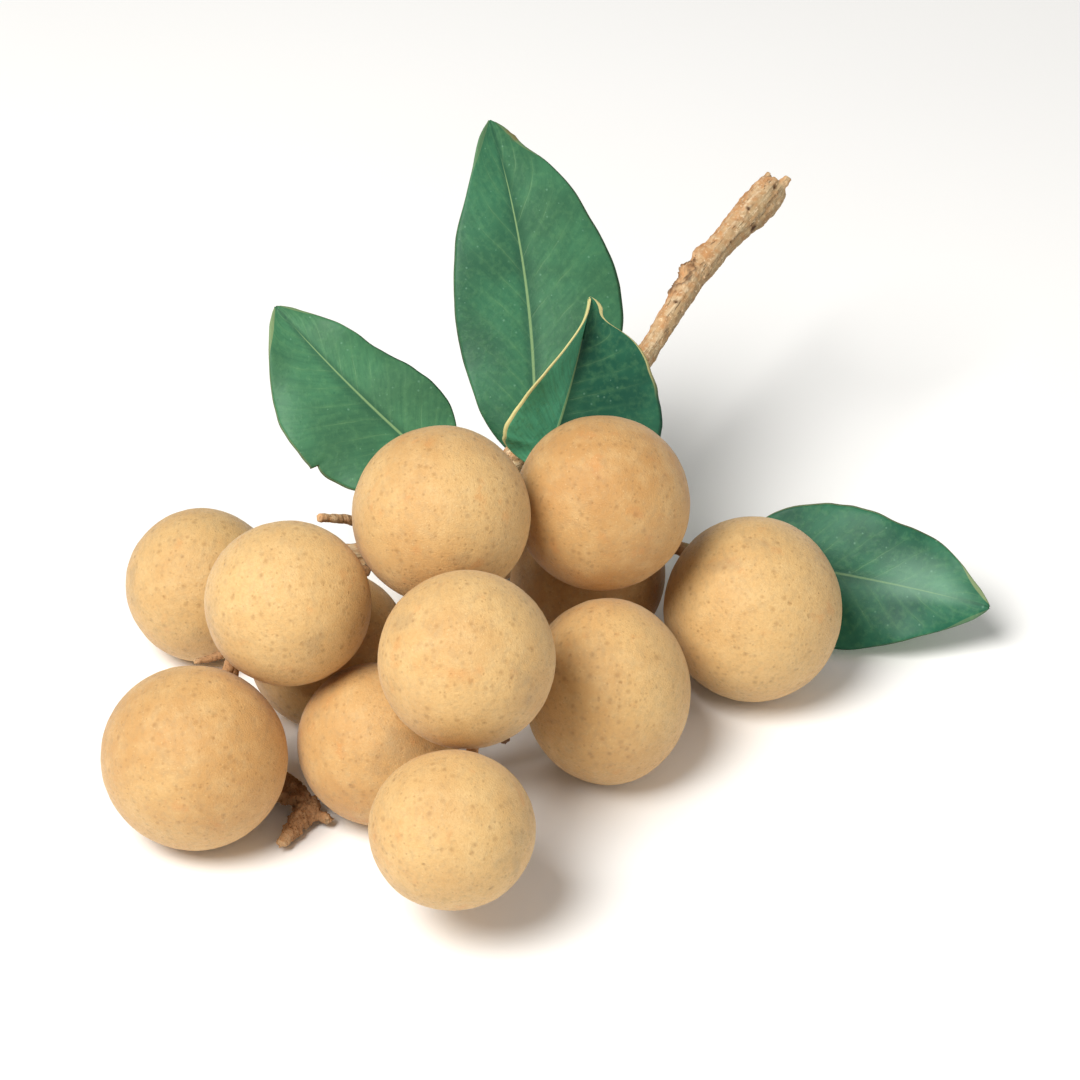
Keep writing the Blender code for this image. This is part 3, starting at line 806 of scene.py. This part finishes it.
def bark_material(bark):
    """Dry tan bark with grey ridges, rusty patches, dark cracks and fibrous ends."""
    mat, tree, shader = new_material("longan_bark")
    place = millimetres(tree)
    grain = millimetres(tree, attribute(tree, "grain", "Vector"))
    streak = node(tree, "Mapping", None, {
        "Vector": grain, "Scale": (1.0, 1.0, 0.16)}).outputs["Vector"]
    mottle, speckle = effects(tree)
    lines = mottle(streak, Scale=1.35, Detail=5.0, Low=0.40, High=0.66)
    rusty = mottle(place, Scale=0.60, Detail=5.0, Low=0.46, High=0.60)
    blotch = mottle(place, Scale=1.05, Detail=5.0, Low=0.50, High=0.64)
    cracks = mottle(streak, Scale=2.4, Detail=4.0, Low=0.62, High=0.70)
    flecks = mottle(place, Scale=2.0, Detail=3.0, Low=0.56, High=0.70)
    pits = speckle(place, Scale=0.60, Size=0.26, Soft=0.75, Share=0.20)
    aside = node(tree, "SeparateXYZ", None, {"Vector": grain}).outputs[0]
    # right greys the stem's right side towards the shade colour: painted shade.
    left, right = ramp(tree, aside, 0.3, 1.7), ramp(tree, aside, -0.2, -1.6)
    dark = mixed(tree, product(tree, flecks, 0.40), bark.twig, bark.bark)
    fibres = mixed(tree, lines, between(bark.rust, bark.wood, 0.5), bark.wood)
    colour = layered(
        tree, mixed(tree, product(tree, lines, 0.75), bark.bark, bark.ridge),
        (rusty, 0.55, bark.rust), (left, 0.55, bark.rust), (right, 0.50, bark.shade),
        (blotch, 0.42, bark.twig), (flecks, 0.75, bark.ridge),
        (attribute(tree, "thin"), 1.0, dark),
        (cracks, 0.60, bark.crack), (pits, 0.60, bark.crack),
        (attribute(tree, "broken"), 1.0, fibres),
        (attribute(tree, "dark"), 1.0, bark.crack),
        (attribute(tree, "young"), 1.0, bark.young))
    feed(tree, shader, {
        "Base Color": colour, "Roughness": 0.86, "Specular IOR Level": 0.25})
    height = maths(tree, "SUBTRACT", lines, maths(tree, "ADD", cracks, pits))
    bumped(tree, shader, height, 0.00022, 0.85)
    return mat


# Leaves


def leaf_start(spec):
    """Place along the blade where the petiole starts, below 0."""
    return -(spec["petiole"] + PETIOLE_BACK) / spec["length"]


@functools.cache
def leaf_frame(name, t):
    """Midrib point in mm and the across, upward and along directions at t."""
    spec = LEAVES[name]
    point = Vector(spec["base"])
    total = spec["petiole"] + spec["length"]
    heading, rise = math.radians(spec["heading"]), math.radians(spec["rise"])
    goal = spec["petiole"] + spec["length"] * t
    step = total / MIDRIB_STEPS
    gone = 0.0
    while True:
        f = gone / total
        h = heading + math.radians(spec["turn"]) * f
        r = rise - math.radians(spec["droop"]) * f
        along = Vector((math.cos(h) * math.cos(r), math.sin(h) * math.cos(r), math.sin(r)))
        if gone + 1e-9 >= goal:
            break
        move = min(step, goal - gone)
        point = point + along * move
        gone += move
    if goal < 0.0:
        point = point + along * goal
    across = along.cross(Vector((0.0, 0.0, 1.0))).normalized()
    upward = across.cross(along).normalized()
    roll = Matrix.Rotation(math.radians(spec["roll"] + spec["twist"] * t), 3, along)
    return point, roll @ across, roll @ upward, along


def leaf_width(name, t, side):
    """Half width at t: a blade with a rounded tip, running into the petiole."""
    spec = LEAVES[name]
    if t <= 0.0:
        return PETIOLE_HALF
    power = math.log(0.5) / math.log(spec["peak"])
    half = spec["half"][0 if side < 0 else 1]
    width = half * max(math.sin(math.pi * min(t, 1.0) ** power), 0.0) ** spec["blunt"]
    width += 0.62 * math.sqrt(max(0.0, min(1.0, (1.0 - t) / 0.045)))
    nick_side, place, depth = spec["nick"]
    if nick_side * side > 0:
        past = (t - place) / 0.02
        width += depth * (0.45 * math.exp(-past) if past > 0.0 else -0.55 * math.exp(past))
    for bulge_side, place, height, spread in spec["bulges"]:
        if bulge_side * side > 0:
            swell = height * math.exp(-((t - place) / spread) ** 2)
            width += swell * min(1.0, (1.0 - t) * 8)
    edge = noise.noise(Vector((t * 14.0, side * 3.0, spec["length"])))
    stalk = PETIOLE_HALF * max(0.0, 1.0 - t / 0.12)
    return max(width * (1.0 + 0.018 * edge), stalk, 0.03)


def leaf_middle(name, t, u):
    """Point in mm on the middle surface; u runs from -1 to +1 across the blade."""
    spec = LEAVES[name]
    point, across, upward, _ = leaf_frame(name, round(t, 6))
    side = 1.0 if u >= 0.0 else -1.0
    near = max(0.0, min(1.0, t))
    out = abs(u) * leaf_width(name, t, side)
    angle = spec["fold"][0] + spec["close"] * near if u < 0.0 else spec["fold"][1]
    fold = math.radians(angle) * min(1.0, near * 8.0)
    soft = out * out / (out + 0.8)
    lift = soft * math.sin(fold) - 0.012 * out * out
    ripple = spec["wave"] * u * u * math.sin(t * 17.0 + side * 1.3) * min(1.0, near * 6.0)
    slow = 0.25 * abs(u) * noise.noise(Vector((t * 5.0, u * 2.0, spec["length"])))
    return point + across * (side * out * math.cos(fold)) + upward * (lift + ripple + slow)


def vein_height(t, u):
    """Relief of the veins on the lower face, mm: midrib and side veins."""
    fade = max(0.0, 1.0 - t) ** 0.7
    rib = math.exp(-(u / 0.05) ** 2) * (0.34 * fade + 0.05)
    lean = VEIN_LEAN * abs(u) ** VEIN_BEND
    phase = (t - lean) * VEINS + (VEIN_AHEAD if u > 0 else 0.0)
    line = abs(phase - round(phase))
    side = math.exp(-(line / 0.07) ** 2) * 0.05 * (1.0 - abs(u)) * min(1.0, abs(u) * 8.0)
    return rib, side


def leaf_point(name, t, p, thick):
    """Point in metres on the closed blade; p goes once round it from the left margin."""
    top = p < 0.5
    u = 4.0 * p - 1.0 if top else 3.0 - 4.0 * p
    step = 0.004
    middle = leaf_middle(name, t, u)
    run = leaf_middle(name, t + step, u) - leaf_middle(name, t - step, u)
    wide = leaf_middle(name, t, min(u + 0.05, 1.0))
    wide -= leaf_middle(name, t, max(u - 0.05, -1.0))
    normal = wide.cross(run).normalized()
    edge = math.sqrt(max(0.0, 1.0 - u ** 8))
    stalk = max(0.0, 1.0 - max(0.0, t) / 0.16)
    half = thick / MM * 0.5 * edge + stalk * 0.55 * math.sqrt(max(0.0, 1.0 - u * u))
    rib, side = vein_height(max(0.0, t), u)
    if top:
        half += 0.10 * rib * (1.0 - stalk) - 0.35 * side
        return placed(middle + normal * half)
    half += rib * (1.0 - stalk) + side
    return placed(middle - normal * half)


def make_leaf(name, leaf, material):
    """A closed blade wrapped from a grid, with petiole, midrib and vein relief."""
    start = leaf_start(LEAVES[name])
    bm = bmesh.new()
    bmesh.ops.create_grid(
        bm, x_segments=leaf.columns, y_segments=leaf.rows, size=0.5, calc_uvs=False)
    uv = bm.loops.layers.uv.new("leaf")
    for face in bm.faces:
        for loop in face.loops:
            loop[uv].uv = (loop.vert.co.x + 0.5, loop.vert.co.y + 0.5)
    for v in bm.verts:
        p = min(v.co.x + 0.5, 0.999999)
        t = start + (1.0 - start) * (v.co.y + 0.5)
        v.co = leaf_point(name, t, p, leaf.thick)
    bmesh.ops.remove_doubles(bm, verts=bm.verts, dist=2e-6)
    bmesh.ops.holes_fill(bm, edges=[e for e in bm.edges if e.is_boundary], sides=0)
    bmesh.ops.recalc_face_normals(bm, faces=bm.faces)
    return finished(name.replace("leaf", "blade"), bm, material, "leaf", name)


def blade_places(tree, spec):
    """From the UV map: place along the blade, from the left to the right, and back."""
    uv = node(tree, "UVMap", {"uv_map": "leaf"}).outputs["UV"]
    round_it, up_it = node(tree, "SeparateXYZ", None, {"Vector": uv}).outputs[:2]
    start = leaf_start(spec)
    along = maths(tree, "MULTIPLY_ADD", up_it, 1.0 - start, start)
    turned = maths(tree, "MULTIPLY", round_it, 4.0)
    under = maths(tree, "GREATER_THAN", turned, 2.0)
    signed = maths(tree, "SUBTRACT", maths(tree, "MODULO", turned, 2.0), 1.0)
    return along, signed, under


def vein_phase(tree, place, along, across, on_right):
    """A whole number on each side vein, with a slight wobble."""
    lean = product(tree, maths(tree, "POWER", across, VEIN_BEND), VEIN_LEAN)
    wobble = node(tree, "TexNoise", None, {
        "Vector": place, "Scale": 0.35, "Detail": 2.0}).outputs[0]
    ahead = product(tree, on_right, VEIN_AHEAD)
    phase = maths(tree, "MULTIPLY_ADD", maths(tree, "SUBTRACT", along, lean), VEINS, ahead)
    return maths(tree, "MULTIPLY_ADD", wobble, 0.18, phase)


def cream_margin(tree, spec, along, across, on_right):
    """Line along the margin: wider by the tip, none low on the right half."""
    start = ramp(tree, on_right, 0.0, 1.0, *spec["rim_from"])
    start = maths(tree, "SUBTRACT", start, ramp(tree, along, 0.84, 1.0, 0.0, 0.38))
    low_right = product(tree, on_right, ramp(tree, along, 0.74, 0.52))
    return product(
        tree, ramp(tree, maths(tree, "SUBTRACT", across, start), 0.0, 0.02),
        ramp(tree, on_right, 0.0, 1.0, *spec["rim"]),
        maths(tree, "SUBTRACT", 1.0, low_right))


def blade_greens(leaf, spec):
    """The lighter and the darker green, each for the left and right halves; lit mixes
    painted light into the left half.
    """
    greens = []
    for green, lit in ((leaf.blade, 1.0), (leaf.deep, 0.7)):
        left, right = (between(green, leaf.fresh, tone) for tone in spec["tone"])
        greens.append((between(left, leaf.bright, lit * spec["lit"]), right))
    return greens


def leaf_material(leaf, name):
    """Waxy green: pale midrib, faint side veins, cream margin, paler back."""
    spec = LEAVES[name]
    mat, tree, shader = new_material("longan_" + name)
    place = millimetres(tree)
    mottle, speckle = effects(tree)
    along, signed, under = blade_places(tree, spec)
    across = maths(tree, "ABSOLUTE", signed)
    on_right = maths(tree, "GREATER_THAN", signed, 0.0)
    phase = vein_phase(tree, place, along, across, on_right)
    line = maths(tree, "PINGPONG", phase, 0.5)
    fade = ramp(tree, across, 1.0, 0.35)
    broken = mottle(place, Scale=0.22, Detail=3.0, Low=0.38, High=0.62)
    veins = product(tree, ramp(tree, line, 0.045, 0.005), fade, broken)
    halo = product(tree, ramp(tree, line, 0.22, 0.0), fade)
    combed = node(tree, "CombineXYZ", None, {
        "X": product(tree, phase, 1.6), "Y": across, "Z": on_right}).outputs[0]
    streaks = mottle(combed, Scale=3.0, Detail=5.0, Low=0.38, High=0.68)
    rib_width = ramp(tree, along, 0.0, 1.0, 0.030, 0.013)
    rib = product(
        tree, ramp(tree, across, rib_width, product(tree, rib_width, 0.35)),
        ramp(tree, along, 0.92, 0.78))
    # Painted shade: darker bands beside the midrib, along its crease.
    crease_shade = ramp(tree, across, 0.16, 0.03)
    cloud = mottle(place, Scale=0.10, Detail=3.0, Low=0.36, High=0.64)
    grain = mottle(place, Scale=1.1, Detail=4.0, Low=0.42, High=0.72)
    dots = speckle(place, Scale=0.85, Size=0.20, Soft=0.7, Share=0.30)
    glints = speckle(place, Scale=1.10, Size=0.22, Soft=0.7, Share=0.30)
    lighter, darker = (mixed(tree, on_right, *pair) for pair in blade_greens(leaf, spec))
    # Green of the painted shade beside the midrib and at the foot of the right half.
    dark = tuple(c * 0.62 for c in leaf.deep)
    colour = layered(
        tree, mixed(tree, cloud, lighter, darker),
        (halo, 0.14, leaf.fresh), (streaks, 0.27, leaf.deep), (grain, 0.20, leaf.fresh),
        (glints, 0.25, leaf.bloom), (dots, 0.30, leaf.deep), (veins, 0.08, leaf.vein),
        (crease_shade, 0.42, dark))
    if spec["foot_shade"]:
        # Painted shade: the foot of the right half darkened where the fruit shade it.
        foot = product(tree, ramp(tree, along, 0.60, 0.15), on_right)
        colour = layered(tree, colour, (foot, spec["foot_shade"], dark))
    if spec["sheen"]:
        # Painted highlight: a pale band along the outer part of the midrib.
        highlight_band = product(
            tree, ramp(tree, along, 0.48, 0.70), ramp(tree, along, 0.99, 0.80),
            ramp(tree, signed, -0.8, -0.15), ramp(tree, signed, 0.35, 0.0))
        colour = layered(tree, colour, (highlight_band, spec["sheen"], leaf.bloom))
    lower = layered(
        tree, mixed(tree, product(tree, grain, 0.3), leaf.back, leaf.blade),
        (veins, 0.3, leaf.vein))
    colour = layered(
        tree, mixed(tree, under, colour, lower), (rib, spec["rib"], leaf.vein),
        (cream_margin(tree, spec, along, across, on_right), 1.0, leaf.rim))
    if name == "leaf_tall":
        off = maths(tree, "ABSOLUTE", maths(tree, "SUBTRACT", along, spec["nick"][1]))
        nick = product(tree, ramp(tree, signed, 0.60, 0.95), ramp(tree, off, 0.026, 0.012))
        colour = layered(tree, colour, (nick, 0.75, leaf.brown))
    colour = mixed(tree, ramp(tree, along, 0.05, -0.02), colour, leaf.back)
    feed(tree, shader, {
        "Base Color": colour, "Roughness": ramp(tree, under, 0.0, 1.0, 0.50, 0.62),
        "Specular IOR Level": 0.20, "Coat Weight": 0.03, "Coat Roughness": 0.28})
    height = maths(tree, "MULTIPLY_ADD", veins, -0.3, product(tree, grain, 0.4))
    bumped(tree, shader, height, 0.00012, 0.5)
    return mat


# Stage


def area_light(name, place, power, size, colour):
    """A soft round light that faces the model's origin."""
    lamp = bpy.data.lights.new(name, "AREA")
    lamp.energy = power
    lamp.shape = "DISK"
    lamp.size = size
    lamp.color = colour
    ob = linked(name, lamp)
    ob.location = place
    ob.rotation_euler = (-Vector(place)).to_track_quat("-Z", "Y").to_euler()


def make_camera(stage):
    """The camera at the photograph's angle."""
    aim = Vector(stage.aim)
    ahead = Vector((0.0, math.cos(stage.elevation), -math.sin(stage.elevation)))
    lens = bpy.data.cameras.new("camera")
    lens.lens = stage.lens
    lens.sensor_width = 36.0
    lens.clip_start = 0.01
    ob = linked("camera", lens)
    ob.location = aim - ahead * stage.distance
    ob.rotation_euler = (math.pi / 2 - stage.elevation, 0.0, 0.0)
    bpy.context.scene.camera = ob


def make_floor(stage):
    """A plain pale disc under the bunch, with a faint unevenness."""
    mat, tree, shader = new_material("floor")
    place = node(tree, "TexCoord").outputs["Object"]
    cloud = grouped(tree, mottle_group(), place, Scale=6.0, Detail=2.0, Low=0.3, High=0.7)
    dim = tuple(c * 0.985 for c in stage.floor)
    feed(tree, shader, {
        "Base Color": mixed(tree, cloud, stage.floor, dim), "Roughness": 0.7,
        "Specular IOR Level": 0.2})
    bm = bmesh.new()
    bmesh.ops.create_circle(bm, cap_ends=True, segments=96, radius=FLOOR_RADIUS)
    mesh = bpy.data.meshes.new("floor")
    bm.to_mesh(mesh)
    bm.free()
    mesh.materials.append(mat)
    floor = linked("floor", mesh)


# Operators, panel and registration


class LONGAN_OT_stage(Operator):
    """Add the floor, the soft lights and the camera"""
    bl_idname = "longan.stage"
    bl_label = "Stage"

    def execute(self, context):
        stage = context.scene.longan.stage
        make_floor(stage)
        make_camera(stage)
        world = bpy.data.worlds.new("room")
        world.use_nodes = True
        sky = world.node_tree.nodes["Background"]
        sky.inputs["Color"].default_value = (1.0, 1.0, 1.0, 1.0)
        sky.inputs["Strength"].default_value = stage.sky
        context.scene.world = world
        for name, place, width, colour in LIGHTS:
            area_light(name, place, getattr(stage, name), width, colour)
        context.scene.view_settings.view_transform = "Standard"
        return {"FINISHED"}


class LONGAN_OT_fruit(Operator):
    """Add the fine rinds of all the fruit"""
    bl_idname = "longan.fruit"
    bl_label = "Fruit"

    def execute(self, context):
        rind = context.scene.longan.rind
        material = rind_material(rind)
        stem_points = [v.co.copy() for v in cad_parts["stem"].data.vertices]
        names = sorted(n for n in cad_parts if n.startswith("fruit"))
        for seed, name in enumerate(names, FIRST_FRUIT_SEED):
            make_rind(name, stem_points, rind, material, seed)
        return {"FINISHED"}


class LONGAN_OT_stem(Operator):
    """Add the bark and broken ends of the stem"""
    bl_idname = "longan.stem"
    bl_label = "Stem"

    def execute(self, context):
        bark = context.scene.longan.bark
        make_bark(bark, bark_material(bark))
        return {"FINISHED"}


class LONGAN_OT_leaves(Operator):
    """Add the fine leaves with their veins"""
    bl_idname = "longan.leaves"
    bl_label = "Leaves"

    def execute(self, context):
        leaf = context.scene.longan.leaf
        for name in LEAVES:
            make_leaf(name, leaf, leaf_material(leaf, name))
        return {"FINISHED"}


class LONGAN_PT_bunch(Panel):
    """Buttons and settings of the bunch"""
    bl_label = "Longan Bunch"
    bl_idname = "LONGAN_PT_bunch"
    bl_space_type = "VIEW_3D"
    bl_region_type = "UI"
    bl_category = "Longan"

    def draw(self, context):
        for operator, key in (
                (LONGAN_OT_stage, "stage"), (LONGAN_OT_fruit, "rind"),
                (LONGAN_OT_stem, "bark"), (LONGAN_OT_leaves, "leaf")):
            box = self.layout.box()
            box.operator(operator.bl_idname)
            settings = getattr(context.scene.longan, key)
            for prop in type(settings).__annotations__:
                box.prop(settings, prop)


CLASSES = (
    RindSettings, BarkSettings, LeafSettings, StageSettings, LonganSettings,
    LONGAN_OT_stage, LONGAN_OT_fruit, LONGAN_OT_stem, LONGAN_OT_leaves, LONGAN_PT_bunch,
)


def register():
    for cls in CLASSES:
        bpy.utils.register_class(cls)
    bpy.types.Scene.longan = PointerProperty(type=LonganSettings)


def unregister():
    del bpy.types.Scene.longan
    for cls in reversed(CLASSES):
        bpy.utils.unregister_class(cls)


def main():
    register()
    bpy.ops.longan.stage()
    bpy.ops.longan.fruit()
    bpy.ops.longan.stem()
    bpy.ops.longan.leaves()


if __name__ == "__main__":
    main()
